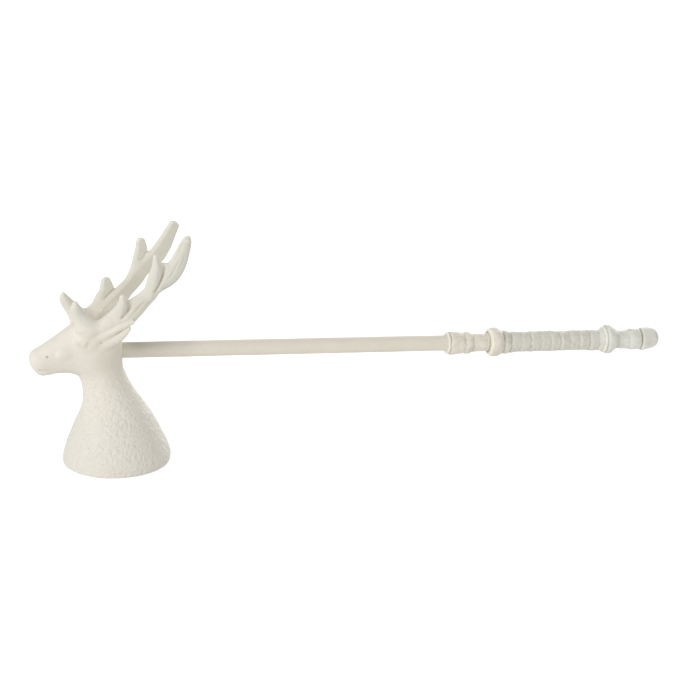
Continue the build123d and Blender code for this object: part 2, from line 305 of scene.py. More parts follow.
# The eye's two round curls: X, Z and radius. They show where the head is wider than a distance
# and are whole a little further out
eye_curls = ((-15.3, 60.2, 1.5), (-11.9, 59.3, 2.0))
curl_start, curl_fade = 5, 2
# Ellipsoids of the cheek, the nostril, and the bud and the dimple where the ear starts: centre
# and radii
cheek = ((-23.5, 5.9, 55.4), (3.6, 1.6, 2.0))
nostril = ((-31.4, 5.3, 54.7), (0.6, 0.7, 0.5))
ear_bud = ((-9.7, 9.3, 60.9), (1.9, 1.7, 1.9))
ear_dimple = ((-7.9, 11.4, 60.9), (1.0, 0.8, 0.8))
# Horn rows of the ear's upper and lower fold and of the core that joins them
ear_upper = (
    (-10.6, 8.6, 61.6, 4.2, 3.6),
    (-8.0, 9.7, 62.9, 3.7, 3.2),
    (-2.8, 11.1, 65.7, 3.2, 3.0),
    (2.7, 12.2, 68.4, 2.6, 2.5),
    (6.5, 12.5, 69.8, 2.4, 1.9),
)
ear_lower = (
    (-9.4, 8.6, 58.8, 3.4, 3.2),
    (-6.2, 9.9, 59.3, 3.9, 3.0),
    (-1.2, 11.2, 61.7, 4.3, 2.8),
    (3.0, 12.2, 64.9, 3.2, 2.5),
    (4.9, 12.6, 67.0, 2.0, 1.6),
)
ear_core = (
    (-9.0, 8.8, 60.4, 3.8, 2.4),
    (-7.1, 9.5, 61.1, 4.2, 2.4),
    (-2.0, 10.7, 63.7, 4.4, 2.4),
    (3.0, 11.7, 66.5, 3.6, 2.2),
    (4.6, 12.0, 67.6, 2.4, 1.8),
)

# Antlers

# Horn rows: X, distance from the middle, Z, depth, thickness. The two castings differ a little,
# but have the same root
root_rows = (
    (-15.5, 7.2, 67.6, 4.6, 5.5),
    (-9.0, 7.5, 66.6, 4.6, 6.0),
    (-2.0, 8.2, 69.4, 5.8, 6.0),
    (4.0, 9.0, 71.5, 6.0, 5.5),
)
left_horns = {
    "root": root_rows,
    "beam": (
        (-6.0, 7.0, 65.0, 10.0, 7.0),
        (-0.5, 8.0, 69.3, 10.5, 6.6),
        (4.9, 9.1, 72.6, 10.4, 6.0),
        (9.3, 10.4, 76.8, 9.0, 5.6),
        (12.8, 11.3, 80.1, 7.6, 5.2),
        (16.1, 11.9, 83.9, 7.1, 5.0),
        (17.6, 12.2, 88.2, 6.6, 4.8),
    ),
    "end": (
        (15.5, 11.8, 84.2, 6.4, 4.2),
        (19.8, 12.1, 87.5, 8.9, 4.8),
        (24.1, 12.4, 90.3, 9.2, 4.6),
        (27.6, 12.6, 94.8, 8.2, 4.4),
        (29.9, 12.7, 99.7, 6.9, 4.0),
        (31.8, 12.7, 104.5, 5.1, 3.6),
        (32.7, 12.7, 106.6, 3.7, 3.0),
        (32.9, 12.7, 107.2, 2.7, 2.0),
    ),
    "third": (
        (14.6, 12.0, 81.0, 6.0, 4.6),
        (16.2, 12.4, 86.0, 6.7, 4.8),
        (17.4, 12.9, 90.8, 6.6, 4.8),
        (18.1, 13.1, 95.0, 4.7, 4.0),
        (17.9, 13.1, 98.2, 3.1, 2.8),
        (17.6, 13.1, 99.8, 2.0, 1.9),
    ),
    "web": (
        (17.6, 12.6, 85.5, 6.0, 3.8),
        (20.2, 12.5, 90.4, 6.0, 3.4),
        (21.7, 12.6, 95.1, 5.2, 2.8),
    ),
    "flare": (
        (-11.0, 7.6, 66.0, 4.0, 4.5),
        (-7.0, 8.2, 67.8, 4.5, 4.6),
        (-3.5, 8.8, 70.2, 4.6, 4.6),
    ),
    "second": (
        (0.5, 8.8, 70.5, 11.0, 5.0),
        (1.6, 9.9, 74.0, 9.0, 5.0),
        (2.3, 11.1, 77.2, 6.0, 4.6),
        (2.4, 11.9, 80.2, 3.9, 3.6),
        (2.1, 12.2, 82.0, 2.4, 2.4),
    ),
    "brow": (
        (-12.0, 7.0, 67.0, 8.5, 7.0),
        (-14.9, 7.2, 70.3, 8.4, 6.2),
        (-17.0, 7.4, 73.4, 6.9, 5.2),
        (-18.0, 7.7, 76.2, 5.6, 4.4),
        (-18.3, 8.0, 78.6, 4.3, 3.6),
        (-18.3, 8.0, 79.4, 3.2, 3.0),
    ),
}
right_horns = {
    "root": root_rows,
    "beam": (
        (-6.0, 7.0, 65.0, 10.0, 7.0),
        (-0.5, 8.0, 69.3, 10.5, 6.6),
        (4.1, 9.1, 73.3, 9.4, 6.0),
        (8.6, 10.4, 77.4, 7.7, 5.6),
        (12.1, 11.3, 80.3, 7.4, 5.2),
        (15.8, 11.9, 84.9, 7.6, 5.0),
        (17.2, 12.2, 88.5, 6.4, 4.8),
    ),
    "end": (
        (15.5, 11.6, 85.0, 6.0, 4.2),
        (19.5, 12.0, 88.0, 7.5, 4.6),
        (23.9, 12.3, 91.7, 8.1, 4.6),
        (27.5, 12.5, 96.4, 7.3, 4.4),
        (30.8, 12.6, 102.2, 5.8, 4.0),
        (32.6, 12.6, 105.4, 5.0, 3.6),
    ),
    "third": (
        (12.0, 11.6, 81.5, 6.0, 4.6),
        (15.0, 12.2, 86.4, 7.2, 4.6),
        (16.5, 12.7, 91.5, 7.1, 4.4),
        (17.1, 12.8, 96.0, 5.7, 3.9),
        (16.8, 12.8, 99.2, 4.6, 3.4),
    ),
    "web": (
        (17.4, 12.3, 85.5, 5.6, 3.8),
        (19.4, 12.3, 89.4, 4.8, 3.4),
        (20.3, 12.3, 92.4, 3.6, 3.0),
    ),
    "second": (
        (-1.4, 8.8, 70.0, 13.8, 5.0),
        (-0.5, 9.8, 74.3, 11.3, 5.0),
        (0.2, 10.9, 78.0, 7.5, 4.6),
        (0.1, 11.6, 81.2, 5.5, 4.0),
        (0.1, 11.9, 82.5, 4.4, 3.2),
    ),
    "flare": (
        (-12.5, 7.6, 67.4, 4.0, 4.5),
        (-9.0, 8.2, 69.0, 4.5, 4.6),
        (-6.0, 8.8, 71.2, 4.6, 4.6),
        (-3.8, 9.4, 73.6, 4.0, 4.2),
    ),
    "brow": (
        (-12.0, 7.0, 66.8, 8.5, 7.0),
        (-14.9, 7.2, 70.0, 7.0, 6.2),
        (-17.8, 7.5, 73.3, 6.3, 5.0),
        (-19.7, 7.8, 76.2, 5.3, 4.2),
        (-20.4, 8.0, 78.0, 4.3, 3.5),
        (-20.5, 8.0, 78.8, 3.2, 2.8),
    ),
}
# Deep creases behind the third and the second tine, on the outer face
crease_rows = (
    (
        (21.6, 14.3, 97.0, 0.8, 1.2),
        (21.4, 14.5, 93.6, 1.3, 2.0),
        (20.5, 14.6, 90.4, 1.3, 2.0),
        (18.9, 14.6, 87.2, 1.1, 1.6),
        (17.1, 14.5, 84.1, 0.7, 1.0),
    ),
    (
        (6.3, 12.6, 80.6, 0.7, 1.0),
        (5.6, 12.7, 77.2, 1.2, 2.0),
        (4.2, 12.5, 74.5, 1.2, 2.0),
        (2.0, 12.2, 72.2, 0.8, 1.2),
    ),
)
# How each horn is made, in the order they are joined: its carving, the power of its oval, whether
# its inner side is flat, and how softly it flows into those before it
horn_forms = {
    "beam": (bark(1.3, (0.5, 0.0, -0.5), 0.34), 2.0, True, None),
    "root": (None, 2.0, False, 1.5),
    "flare": (None, 2.0, False, 1.5),
    "web": (None, 2.0, True, 1.2),
    "end": (bark(2.9, (0.6, 0.15, -0.3, -0.7), 0.32), 2.0, True, 0.9),
    "third": (bark(0.4, (-0.35,), 0.2), 1.65, True, 0.7),
    "second": (bark(0.9, (-0.3,), 0.2), 1.65, True, 0.6),
    "brow": (bark(0.2, (-0.2,), 0.12), 1.75, False, 2.6),
}
# The antlers' seat on the head: its height, and how far it rises between the antlers and beside
# them. Each rise starts at a distance from the middle and is reached over a width, inwards
# between the antlers and outwards beside them
seat_height = 67.0
between_rise, between_start, between_width = 3, 6, 3
beside_rise, beside_start, beside_width = 5, 9.6, 2.6
# Past the seat each casting runs on for the overlap, drawn in by a share of the distance, and its
# edge there is rounded. An antler's casting starts this far from the middle
seam_overlap, seam_share, seam_rounding, antler_start = 1.4, 0.25, 0.5, 2.2
# The antlers' stud holes: X and distance from the middle, radius, lower and upper end
stud_place, stud_hole_radius, stud_hole_low, stud_hole_high = (-4.485, 7.239), 1.55, 63.0, 71.0

# The rod's axis: it crosses X = 0 at this height and falls by 5 degrees
rod_height = 52.8
rod_fall = math.radians(5.0)
rod_line = np.array([math.cos(rod_fall), 0.0, -math.sin(rod_fall)])
rod_top = np.array([math.sin(rod_fall), 0.0, math.cos(rod_fall)])
# The rod's socket and its thread hole in the nape: radius, and the floor's distance along the rod
socket_radius, socket_floor = 3.65, -1.0
thread_hole_radius, thread_hole_floor = 2.55, -12.5

# Hand-made unevenness: a few slow waves with seeded directions and starts, and their height on the
# castings. The same waves, run faster across and up, are the bell's cast pebbles, which fade out
# over a distance below a height
wave_maker = np.random.default_rng(7)
wave_count, wave_rate = 10, 0.42
wave_turns = wave_maker.normal(size=(wave_count, 3)) * wave_rate
wave_starts = wave_maker.uniform(0, 6.28, wave_count)
hand_wave = 0.05
pebble_height, pebble_across, pebble_up, pebble_end, pebble_fade = 0.045, 3.6, 3.0, 44, 10


def uneven(x, y, z):
    """Sum of ten slow sine waves in seeded directions, over about the root of ten, so that it is
    about one in size."""
    total = np.zeros_like(x)
    for turn_rate, start in zip(wave_turns, wave_starts):
        total += np.sin(x * turn_rate[0] + y * turn_rate[1] + z * turn_rate[2] + start)
    return total / 3.2


def neck_gap(x, y, z):
    """Ellipses stacked along Z, closed by a soft cap inside the head."""
    centre, half_length, half_width = read(neck_rows, z)
    side = section_gap(x - centre, y, half_length, half_width, 2.0)
    return cut(side, neck_top - z, soft=6.0)


def skull_gap(x, y, z):
    """Squared ellipses stacked along -X, closed by a leaning muzzle and a soft nape."""
    top, under, half_width, square = read(head_rows, -x)
    side = section_gap(y, z - (top + under) / 2, half_width, (top - under) / 2, square)
    gap = cut(side, x - muzzle_end + muzzle_lean * (z - muzzle_height), soft=3.7)
    return cut(gap, nape - x, soft=8.0)


def antler_gap(x, beside, z, horns):
    """The beam, its root, flare, web and end and the three tines, flowing together, less the two
    creases."""
    gap = None
    for name, (carve, keen, flat, soft) in horn_forms.items():
        horn = horn_gap(x, beside, z, horns[name], carve, keen, flat)
        gap = horn if gap is None else joined(gap, horn, soft)
    for rows in crease_rows:
        gap = cut(gap, horn_gap(x, beside, z, rows), soft=1.1)
    return gap


def ear_gap(x, beside, z):
    """An upper and a lower fold with a narrow groove between them, and a small round bud with a
    dimple where they start."""
    gap = joined(horn_gap(x, beside, z, ear_upper), horn_gap(x, beside, z, ear_lower), soft=0.25)
    gap = joined(gap, horn_gap(x, beside, z, ear_core), soft=0.5)
    gap = joined(gap, ball_gap(x, beside, z, *ear_bud), soft=0.8)
    return cut(gap, ball_gap(x, beside, z, *ear_dimple), soft=0.8)


def curl_rise(out):
    """How far an eye's curl stands out, by the distance from its middle as a share of its radius:
    a bell curve, less a narrow ring of another just outside the radius."""
    return 0.3 * np.exp(-((out / 0.85) ** 2)) - 0.13 * np.exp(-(((out - 1.2) / 0.4) ** 2))


def whole_gap(x, y, z):
    """Bell, neck, head, antlers and ears as one flowing form, without the hollows. The brows
    flow widest into the forehead."""
    beside = np.abs(y)
    gap = joined(neck_gap(x, y, z), skull_gap(x, y, z), soft=6.0)
    gap = joined(gap, horn_gap(x, beside, z, brow_fold), soft=2.4)
    gap = joined(gap, ball_gap(x, beside, z, *cheek), soft=1.6)
    for across, up, radius in eye_curls:
        rise = curl_rise(np.hypot(x - across, z - up) / radius)
        gap = gap - rise * np.clip((beside - curl_start) / curl_fade, 0, 1)
    gap = cut(gap, horn_gap(x, beside, z, mouth_line), soft=1.3)
    antlers = np.empty_like(x)
    for here, horns in ((y < 0, left_horns), (y >= 0, right_horns)):
        antlers[here] = antler_gap(x[here], beside[here], z[here], horns)
    gap = joined(gap, antlers, soft=2.6 + np.clip((-5.0 - x) / 5.0, 0, 1))
    return joined(gap, ear_gap(x, beside, z), soft=1.3) + hand_wave * uneven(x, y, z)


def seam_side(y, z):
    """Distance above the antlers' seat, which rises gently between them and beside them: the
    height, over the length of the slope there."""
    between = np.clip((between_start - np.abs(y)) / between_width, 0, 1)
    beside = np.clip((np.abs(y) - beside_start) / beside_width, 0, 1)
    rise = between_rise * eased(between) + beside_rise * eased(beside)
    steep = 6 * between_rise / between_width * between * (1 - between)
    steep = steep + 6 * beside_rise / beside_width * beside * (1 - beside)
    return (z - seat_height - rise) / np.sqrt(1 + steep * steep)


def rod_place(x, y, z):
    """Distance along the rod's axis and distance out from it."""
    along = x * rod_line[0] + (z - rod_height) * rod_line[2]
    up = x * rod_top[0] + (z - rod_height) * rod_top[2]
    return along, np.hypot(up, y)


def stud_hole_gap(x, y):
    """Gap from the upright stud hole on either side of the middle, without its ends."""
    return np.hypot(x - stud_place[0], np.abs(y) - stud_place[1]) - stud_hole_radius


def stag_gap(x, y, z):
    """The head's casting: the whole form, which dips under the antlers above their seat, with
    small waves as pebbles over the bell, less the nostrils, the bell's hollow and what is below
    its rim, the rod's socket and thread hole and the stud holes."""
    over = seam_side(y, z)
    dipped = whole_gap(x, y, z) + seam_share * np.maximum(over, 0)
    gap = cut(dipped, seam_overlap - over, seam_rounding)
    pebbled = pebble_height * np.clip((pebble_end - z) / pebble_fade, 0, 1)
    gap = gap - pebbled * uneven(pebble_across * x, pebble_across * y, pebble_up * z)
    gap = cut(gap, ball_gap(x, np.abs(y), z, *nostril), soft=0.4)
    centre, half_length, half_width = read(hollow_rows, z)
    side = section_gap(x - centre, y, half_length, half_width, 2.0)
    gap = cut(gap, cut(side, hollow_top - z, soft=5.0), soft=0.8)
    gap = cut(gap, z, soft=0.5)
    along, out = rod_place(x, y, z)
    gap = cut(gap, np.maximum(out - socket_radius, socket_floor - along), soft=0.25)
    thread = np.maximum(along, thread_hole_floor - along)
    gap = cut(gap, np.maximum(out - thread_hole_radius, thread), soft=0.25)
    return cut(gap, np.maximum(stud_hole_gap(x, y), stud_hole_low - z), soft=0.2)


def antler_casting_gap(x, y, z, side):
    """One antler's casting: the whole form, which dips into the head below the seat, on one side
    of the middle, -1 or 1, less its stud hole."""
    over = seam_side(y, z)
    dipped = whole_gap(x, y, z) + seam_share * np.maximum(-over, 0)
    gap = cut(dipped, over + seam_overlap, seam_rounding)
    gap = cut(gap, y * side - antler_start, seam_rounding)
    return cut(gap, np.maximum(stud_hole_gap(x, y), z - stud_hole_high), soft=0.2)


def skin(gap, low, high, cell):
    """Points and faces of the surface where the gap is nought. A grid of cells is laid over the
    box; a cell that the surface passes through gets one point, at the mean of where the surface
    crosses its edges, and each crossed edge gets a face of the four cells round it. The points
    are evened out among their neighbours, then moved along the gap's slope onto the surface."""
    # Planes worked out at a time, then how often the points are evened out and moved
    slab, evenings, moves = 16, 2, 4
    # The slope is read over the probe's length, and its square has a floor
    probe, least_steep, longest_move = 0.04, 0.3, 0.6 * cell
    low, high = np.array(low, float), np.array(high, float)
    counts = np.ceil((high - low) / cell).astype(int) + 1
    lines = [low[i] + cell * np.arange(counts[i]) for i in range(3)]
    values = np.empty(counts)
    for start in range(0, counts[0], slab):
        block = np.meshgrid(lines[0][start:start + slab], lines[1], lines[2], indexing="ij")
        x, y, z = (part.ravel() for part in block)
        values[start:start + slab] = gap(x, y, z).reshape(block[0].shape)
    inside = values < 0
    unit = np.eye(3, dtype=int)
    rings, spots = [], []
    for axis in range(3):
        step, left, down = unit[axis], unit[(axis + 1) % 3], unit[(axis + 2) % 3]
        lower = inside[tuple(slice(0, end - skip) for end, skip in zip(counts, step))]
        upper = inside[tuple(slice(skip, None) for skip in step)]
        place = np.argwhere(lower != upper)
        first = values[tuple(place.T)]
        second = values[tuple((place + step).T)]
        spot = place + step * (first / (first - second))[:, None]
        around = [place, place - left, place - left - down, place - down]
        ring = np.stack([np.ravel_multi_index(tuple(one.T), counts) for one in around], 1)
        leaving = inside[tuple(place.T)]
        rings.append(np.where(leaving[:, None], ring, ring[:, ::-1]))
        spots.append(np.repeat(spot, 4, axis=0))
    rings = np.concatenate(rings)
    spots = np.concatenate(spots)
    label = np.unique(rings.ravel(), return_inverse=True)[1]
    share = np.bincount(label)
    points = np.stack([np.bincount(label, spots[:, i]) / share for i in range(3)], 1) * cell + low
    faces = label.reshape(-1, 4)
    ends = np.concatenate([faces[:, [i, (i + 1) % 4]] for i in range(4)])
    own, next_to = ends.T
    share = np.bincount(own, minlength=len(points))
    for _ in range(evenings):
        mean = np.stack([np.bincount(own, points[next_to, i]) / share for i in range(3)], 1)
        points = (points + mean) / 2
    for _ in range(moves):
        value, slope = slope_of(gap, points, probe)
        steep = np.maximum((slope * slope).sum(1), least_steep)
        move = value[:, None] * slope / steep[:, None]
        far = np.maximum(np.linalg.norm(move, axis=1, keepdims=True) / longest_move, 1)
        points = points - move / far
    return points, faces


def slope_of(gap, points, step):
    """The gap at each point, and its slope from one step to each side along each axis."""
    slope = np.empty_like(points)
    for axis in range(3):
        shift = step * np.eye(3)[axis]
        slope[:, axis] = (gap(*(points + shift).T) - gap(*(points - shift).T)) / (2 * step)
    return gap(*points.T), slope


def bend_of(gap, points, step):
    """How the surface bends at each point, from the gap one step away on all sides: above
    nought on crests, below nought in hollows, per millimetre."""
    value = gap(*points.T)
    total = -6 * value
    for axis in range(3):
        shift = step * np.eye(3)[axis]
        total = total + gap(*(points + shift).T) + gap(*(points - shift).T)
    return total / step**2


# Meshes


def piece_from(name, points, faces, sharp=None):
    """A mesh object from points in millimetres and faces of four, or of three with one repeated,
    with its faces turned outwards by the sign of its volume. Edges keener than sharp, in degrees,
    are shaded sharp."""
    first, second, third, fourth = (points[faces[:, i]] for i in range(4))
    volume = (first * (np.cross(second, third) + np.cross(third, fourth))).sum()
    if volume < 0:
        faces = faces[:, ::-1]
    repeated = faces == np.roll(faces, -1, axis=1)
    three = repeated.any(axis=1)
    fours, fans = faces[~three], faces[three]
    threes = fans[~repeated[three]].reshape(-1, 3)
    loops = np.concatenate([fours.ravel(), threes.ravel()]).astype(np.int32)
    sizes = np.repeat((4, 3), (len(fours), len(threes)))
    mesh = bpy.data.meshes.new(name)
    mesh.vertices.add(len(points))
    mesh.vertices.foreach_set("co", (points / 1000).astype(np.float32).ravel())
    mesh.loops.add(len(loops))
    mesh.loops.foreach_set("vertex_index", loops)
    mesh.polygons.add(len(sizes))
    mesh.polygons.foreach_set("loop_start", np.r_[0, np.cumsum(sizes)[:-1]].astype(np.int32))
    mesh.update(calc_edges=True)
    mesh.validate()
    mesh.shade_smooth()
    if sharp:
        mesh.set_sharp_from_angle(angle=math.radians(sharp))
    made = bpy.data.objects.new(name, mesh)
    bpy.context.scene.collection.objects.link(made)
    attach(made, "root")
    return made


def give_number(made, name, values):
    """One number at each of a piece's points, for its material to read."""
    layer = made.data.attributes.new(name, "FLOAT", "POINT")
    layer.data.foreach_set("value", values.astype(np.float32))


# Painted shade and darker patches in the paint of the castings, the rod and the handle: place,
# size and strength. Their colour is each paint's shade and patch tint
shade_and_patches = (
    # Darker patches on the far antler's end and round the near eye and brow
    ((33.0, 12.6, 106.0), 4.0, 0.3),
    ((29.0, 11.5, 98.0), 4.0, 0.15),
    ((-11.5, -9.0, 64.0), 3.4, 0.5),
    ((-13.0, -9.0, 59.5), 3.4, 0.4),
    # Painted shade below the near ear and on the neck under the head
    ((-4.0, -9.5, 54.0), 8.0, 0.55),
    ((-2.0, -9.0, 43.0), 6.0, 0.3),
    # Darker patches on the two beams
    ((9.0, -12.5, 77.5), 6.0, 0.35),
    ((10.0, 8.5, 81.0), 9.0, 0.35),
    # Painted shade on the far antler's root, between the antlers
    ((-9.0, 7.0, 68.5), 5.0, 0.4),
    ((0.0, 8.0, 73.0), 4.0, 0.2),
    # A darker patch on the muzzle
    ((-33.0, -5.0, 49.5), 3.0, 0.25),
    # A painted shadow of the head along the top of the rod
    ((11.0, -1.0, 56.0), 7.0, 0.9),
    ((22.0, -1.0, 55.0), 7.0, 0.6),
    ((33.0, -1.0, 54.0), 6.0, 0.35),
    # Darker patches on the handle
    ((170.5, -3.5, 36.0), 2.0, 0.6),
    ((182.0, -5.5, 34.0), 3.0, 0.4),
    ((188.5, -3.0, 40.0), 3.0, 0.5),
    ((267.5, -2.0, 31.5), 3.0, 0.7),
    ((258.0, -4.0, 32.0), 3.0, 0.5),
)


def shade_and_patch_share(points):
    """How much painted shade or darker patch each point has: the sum of bell curves about the places,
    at most 1.
    """
    total = np.zeros(len(points))
    for place, size, strength in shade_and_patches:
        total += strength * np.exp(-((points - place) ** 2).sum(1) / size**2)
    return np.clip(total, 0, 1)


# A piece's bend is kept within this limit, and a casting's is read this far out from each point
bend_limit, bend_step = 3, 0.55


def cast(name, gap, low, high, cell, node):
    """A casting made from its gap, with how it bends and how much painted shade or darker patch it
    has kept for the paint.
    """
    points, faces = skin(gap, low, high, cell)
    made = piece_from(name, points, faces)
    give_number(made, "bend", np.clip(bend_of(gap, points, bend_step), -bend_limit, bend_limit))
    give_number(made, "shade_and_patch", shade_and_patch_share(points))
    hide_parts(node)
    return made


def turned(name, path, node, shape, around=112, sharp=38):
    """A turned piece: the path's points, distance along the rod and radius, are carried round
    the rod's axis. shape(distance, angle) is added to the radius of points marked 1, and how
    their outline bends along the rod is kept for the paint. A radius of nought at an end closes
    it with one point; otherwise the path is a closed ring."""
    rows = np.array(path, float)
    start_pole, end_pole = rows[0, 1] == 0, rows[-1, 1] == 0
    middle = rows[int(start_pole):len(rows) - int(end_pole)]
    angle = np.arange(around) * 2 * math.pi / around
    along, turn_angle = np.meshgrid(middle[:, 0], angle, indexing="ij")
    radius = middle[:, 1:2] + middle[:, 2:3] * shape(along, turn_angle)
    near_side = np.array([0.0, -1.0, 0.0])
    out = np.cos(turn_angle)[..., None] * near_side + np.sin(turn_angle)[..., None] * rod_top
    points = along[..., None] * rod_line + radius[..., None] * out + [0, 0, rod_height]
    bend = np.zeros_like(radius)
    skin_rows = middle[:, 2] == 1
    slope = np.gradient(radius[skin_rows], middle[skin_rows, 0], axis=0)
    bend[skin_rows] = -np.gradient(slope, middle[skin_rows, 0], axis=0)
    count = len(middle)
    grid = np.arange(count * around).reshape(count, around)
    if not (start_pole or end_pole):
        grid = np.concatenate([grid, grid[:1]])
    beside = np.roll(grid, -1, axis=1)
    quads = [np.stack([grid[:-1], grid[1:], beside[1:], beside[:-1]], -1).reshape(-1, 4)]
    points = points.reshape(-1, 3)
    for pole, ring, row in ((start_pole, 0, rows[0]), (end_pole, -1, rows[-1])):
        if pole:
            tip = np.full(around, len(points))
            points = np.concatenate([points, [row[0] * rod_line + [0, 0, rod_height]]])
            fan = [tip, grid[ring], beside[ring], beside[ring]]
            if ring == -1:
                fan = [tip, beside[ring], grid[ring], grid[ring]]
            quads.append(np.stack(fan, -1))
    made = piece_from(name, points, np.concatenate(quads), sharp)
    bend = np.clip(bend.ravel(), -bend_limit, bend_limit)
    give_number(made, "bend", np.r_[bend, np.zeros(len(points) - len(bend))])
    give_number(made, "shade_and_patch", shade_and_patch_share(points))
    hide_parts(node)
    return made


def outer(rows, step=0.14):
    """A smooth outer outline through the rows, distance and radius, in even steps, every point
    marked 1."""
    first, last = rows[0], rows[-1]
    length = last[0] - first[0]
    at, table = dense(rows, length / math.ceil(length / step) + 1e-9)
    return [(along, radius, 1) for along, radius in table] + [(*last, 1)]


def pits(along, angle, places):
    """Small round pits: a bell curve about each place, given as distance, angle, size, depth. The
    way round is measured on the handle's usual radius."""
    usual_radius = 4.8
    total = np.zeros_like(along)
    for distance, turn_to, size, depth in places:
        round_off = np.mod(angle - turn_to + math.pi, 2 * math.pi) - math.pi
        off = np.hypot(along - distance, round_off * usual_radius)
        total -= depth * np.exp(-(off / size) ** 2)
    return total


def lumpy(along, angle, size):
    """Slow waves along and round a piece, as hand finishing leaves: the sum of three sines."""
    return size * (
        np.sin(along * 0.61 + 2 * angle + 0.4)
        + 0.7 * np.sin(along * 1.13 - angle + 1.9)
        + 0.5 * np.sin(along * 0.29 + 3 * angle + 4.0)
    )


# How far the handle's top and underside stand out from its true round, by the distance along it
top_rows = dense((
    (158.0, 0.1), (160.2, 0.3), (162.0, 0.0), (165.5, -0.08), (169.0, -0.32), (172.0, -0.2),
    (176.0, -0.08), (179.0, -0.22), (181.0, 0.0), (183.0, -0.15), (187.0, 0.0), (190.0, -0.3),
    (194.0, -0.2), (202.0, -0.28), (206.0, -0.12), (210.0, 0.0), (214.0, -0.22), (218.0, -0.36),
    (224.0, 0.0), (230.0, 0.02), (234.0, -0.22), (237.0, -0.2), (240.0, 0.15), (244.0, 0.1),
    (249.0, 0.0), (255.0, -0.18), (258.5, 0.1), (260.5, 0.2), (262.5, 0.15), (265.0, 0.45),
    (267.0, 0.3), (269.0, 0.0),
))
under_rows = dense((
    (158.0, 0.2), (160.2, 0.6), (163.0, 0.5), (166.0, 0.3), (167.5, 0.42), (170.3, 0.1),
    (173.0, 0.48), (178.0, 0.3), (181.5, 0.08), (184.0, 0.1), (186.5, 0.36), (190.0, 0.6),
    (194.0, 0.42), (200.0, 0.28), (210.0, 0.24), (220.0, 0.12), (230.0, 0.2), (236.0, 0.45),
    (239.0, 0.1), (242.0, -0.15), (245.0, -0.1), (247.5, 0.45), (250.0, 0.5), (253.0, 0.22),
    (256.0, 0.15), (258.0, 0.4), (259.5, 0.5), (261.0, 0.0), (264.0, -0.35), (266.0, -0.1),
    (267.0, 0.2), (269.0, 0.0),
))


def uneven_round(along, angle):
    """What the top and the underside stand out by, each fading to nought at the sides."""
    above, below = read(top_rows, along)[0], read(under_rows, along)[0]
    return above * np.clip(np.sin(angle), 0, 1) + below * np.clip(-np.sin(angle), 0, 1)


def handmade(size, places):
    """The shape of a handle's piece: slow waves of a size, the uneven top and underside, and pits
    at the places."""
    return lambda along, angle: (
        lumpy(along, angle, size) + uneven_round(along, angle) + pits(along, angle, places)
    )


# Materials


def fresh(name):
    """An empty node material with its shader and output."""
    made = bpy.data.materials.new(name)
    made.use_nodes = True
    tree = made.node_tree
    tree.nodes.clear()
    shader = tree.nodes.new("ShaderNodeBsdfPrincipled")
    output = tree.nodes.new("ShaderNodeOutputMaterial")
    tree.links.new(shader.outputs["BSDF"], output.inputs["Surface"])
    return made, tree, shader


def add(tree, kind, inputs=(), **settings):
    """A node with its settings, and its inputs as values or as links from other nodes."""
    made = tree.nodes.new(kind)
    for key, value in settings.items():
        setattr(made, key, value)
    for key, value in dict(inputs).items():
        if isinstance(value, bpy.types.NodeSocket):
            tree.links.new(value, made.inputs[key])
        else:
            made.inputs[key].default_value = value
    return made


def blend_colours(tree, share, first, second):
    """Mix of two colours by a share. Each is a colour or another node's output."""
    first_input, second_input = 6, 7
    mix = add(tree, "ShaderNodeMix", {0: share}, data_type="RGBA")
    for key, value in ((first_input, first), (second_input, second)):
        if isinstance(value, bpy.types.NodeSocket):
            tree.links.new(value, mix.inputs[key])
        else:
            mix.inputs[key].default_value = (*value, 1)
    return mix.outputs[2]


def spread(tree, value, low, high, to_low=0.0, to_high=1.0):
    """A value's range mapped smoothly onto another."""
    made = add(
        tree,
        "ShaderNodeMapRange",
        {"Value": value, "From Min": low, "From Max": high, "To Min": to_low, "To Max": to_high},
        interpolation_type="SMOOTHSTEP",
    )
    return made.outputs["Result"]


def noise(tree, place, scale, detail=2.0, rough=0.5):
    """A noise whose waves are about one over scale metres long."""
    inputs = {"Vector": place, "Scale": scale, "Detail": detail, "Roughness": rough}
    return add(tree, "ShaderNodeTexNoise", inputs).outputs["Fac"]


def product(tree, first, second):
    """One value times another."""
    return add(tree, "ShaderNodeMath", {0: first, 1: second}, operation="MULTIPLY").outputs[0]


def bump(tree, strength, distance, height, below=None):
    """A bump that is this far high in metres where height is 1, on top of the bump below it."""
    inputs = {"Strength": strength, "Distance": distance, "Height": height}
    if below is not None:
        inputs["Normal"] = below
    return add(tree, "ShaderNodeBump", inputs).outputs["Normal"]


